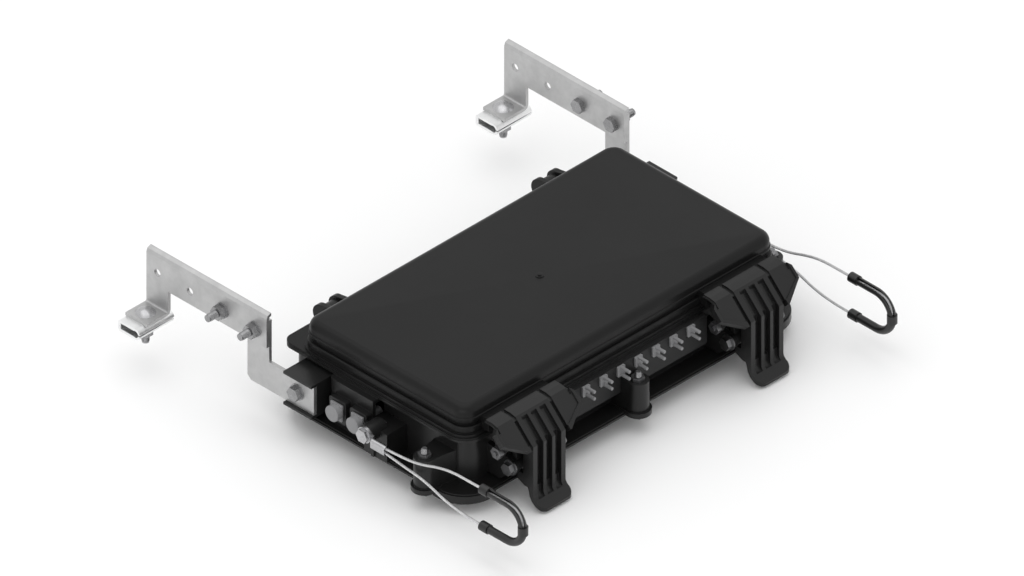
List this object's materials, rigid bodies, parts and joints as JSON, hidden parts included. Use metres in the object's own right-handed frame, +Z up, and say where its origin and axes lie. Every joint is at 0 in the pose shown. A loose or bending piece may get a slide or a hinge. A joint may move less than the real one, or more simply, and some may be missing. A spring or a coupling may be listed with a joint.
{
  "type": "fibre splice closure",
  "caption": "Rectangular black fibre splice closure with a hinged latched lid, drop ports along one side, end cable ports, strand hanger brackets and wire tether loops.",
  "frame": {"origin": "centre of the bottom pan's flat underside, midway between the ends of the housing", "axes": "+X along the housing's long side, +Y towards the lid hinge and the hanger brackets, +Z up through the lid"},
  "size_m": [0.59, 0.5591, 0.1308],
  "materials": {
    "black_moulding": "fine moulded texture with a soft sheen",
    "port_moulding": "smooth moulded",
    "seal_rubber": "matt",
    "galvanised": "zinc coated, faintly mottled",
    "plated": "bright plated",
    "dark_plated": "dull plated",
    "grey_plug": "smooth mid grey moulded",
    "clamp_metal": "cast satin",
    "wire": "stranded, bright",
    "hook_rubber": "glossy coated",
    "tray_plastic": "smooth light grey",
    "clear_cover": "clear"
  },
  "bodies": {
    "root": {"base_shell": "black_moulding", "bottom_pan": "black_moulding", "bottom_seal": "seal_rubber", "boss_bolts": "dark_plated", "boss_nuts": "dark_plated", "hinge_pins": "plated", "link_bolts": "dark_plated", "port_plate": "port_moulding", "end_plug_right_rear": "grey_plug", "end_plug_left_rear": "grey_plug", "end_plug_right_front": "grey_plug", "end_plug_left_front": "grey_plug", "end_plug_seals": "seal_rubber", "hanger_upper_left": "galvanised", "hanger_upper_right": "galvanised", "hanger_lower_left": "galvanised", "hanger_lower_right": "galvanised", "strand_clamp_upper_left": "clamp_metal", "strand_clamp_upper_right": "clamp_metal", "strand_clamp_lower_left": "clamp_metal", "strand_clamp_lower_right": "clamp_metal", "strand_clamp_bolts": "plated", "strand_clamp_nuts": "plated", "hanger_bolts": "plated", "hanger_nuts": "plated", "arm_bolts": "plated", "wire_lug_right": "plated", "wire_lug_left": "plated", "lug_bolts": "plated", "wire_loop_right": "wire", "wire_loop_left": "wire", "wire_hook_right": "hook_rubber", "wire_hook_left": "hook_rubber", "tray_bracket": "galvanised", "splice_tray_lower": "tray_plastic", "splice_tray_upper": "tray_plastic", "tray_cover": "clear_cover", "tray_studs": "plated", "thumb_nuts": "black_moulding", "strength_bar": "galvanised", "ground_stud": "plated", "drop_plug_1": "grey_plug", "drop_plug_2": "grey_plug", "drop_plug_3": "grey_plug", "drop_plug_4": "grey_plug", "drop_plug_5": "grey_plug", "drop_plug_6": "grey_plug", "drop_plug_7": "grey_plug", "drop_plug_8": "grey_plug"},
    "lid": {"lid": "black_moulding", "lid_gasket": "seal_rubber"},
    "link_left": {"latch_link_left": "black_moulding"},
    "latch_left": {"latch_left": "black_moulding", "latch_pin_left": "dark_plated"},
    "link_right": {"latch_link_right": "black_moulding"},
    "latch_right": {"latch_right": "black_moulding", "latch_pin_right": "dark_plated"}
  },
  "joints": [
    {"name": "lid_hinge", "type": "hinge", "parent": "root", "child": "lid", "pos_m": [0, 0.144, 0.07], "axis": [-1, 0, 0], "range_deg": [0, 100]},
    {"name": "link_left_hinge", "type": "hinge", "parent": "root", "child": "link_left", "pos_m": [-0.1582, -0.15, 0.035], "axis": [1, 0, 0], "range_deg": [0, 100]},
    {"name": "latch_left_hinge", "type": "hinge", "parent": "link_left", "child": "latch_left", "pos_m": [-0.1582, -0.146, 0.059], "axis": [1, 0, 0], "range_deg": [-120, 0]},
    {"name": "link_right_hinge", "type": "hinge", "parent": "root", "child": "link_right", "pos_m": [0.1582, -0.15, 0.035], "axis": [1, 0, 0], "range_deg": [0, 100]},
    {"name": "latch_right_hinge", "type": "hinge", "parent": "link_right", "child": "latch_right", "pos_m": [0.1582, -0.146, 0.059], "axis": [1, 0, 0], "range_deg": [-120, 0]}
  ],
  "couplings": [
    {"joint": "latch_left_hinge", "follows": "link_left_hinge", "ratio": -1.2},
    {"joint": "latch_right_hinge", "follows": "link_right_hinge", "ratio": -1.2}
  ]
}
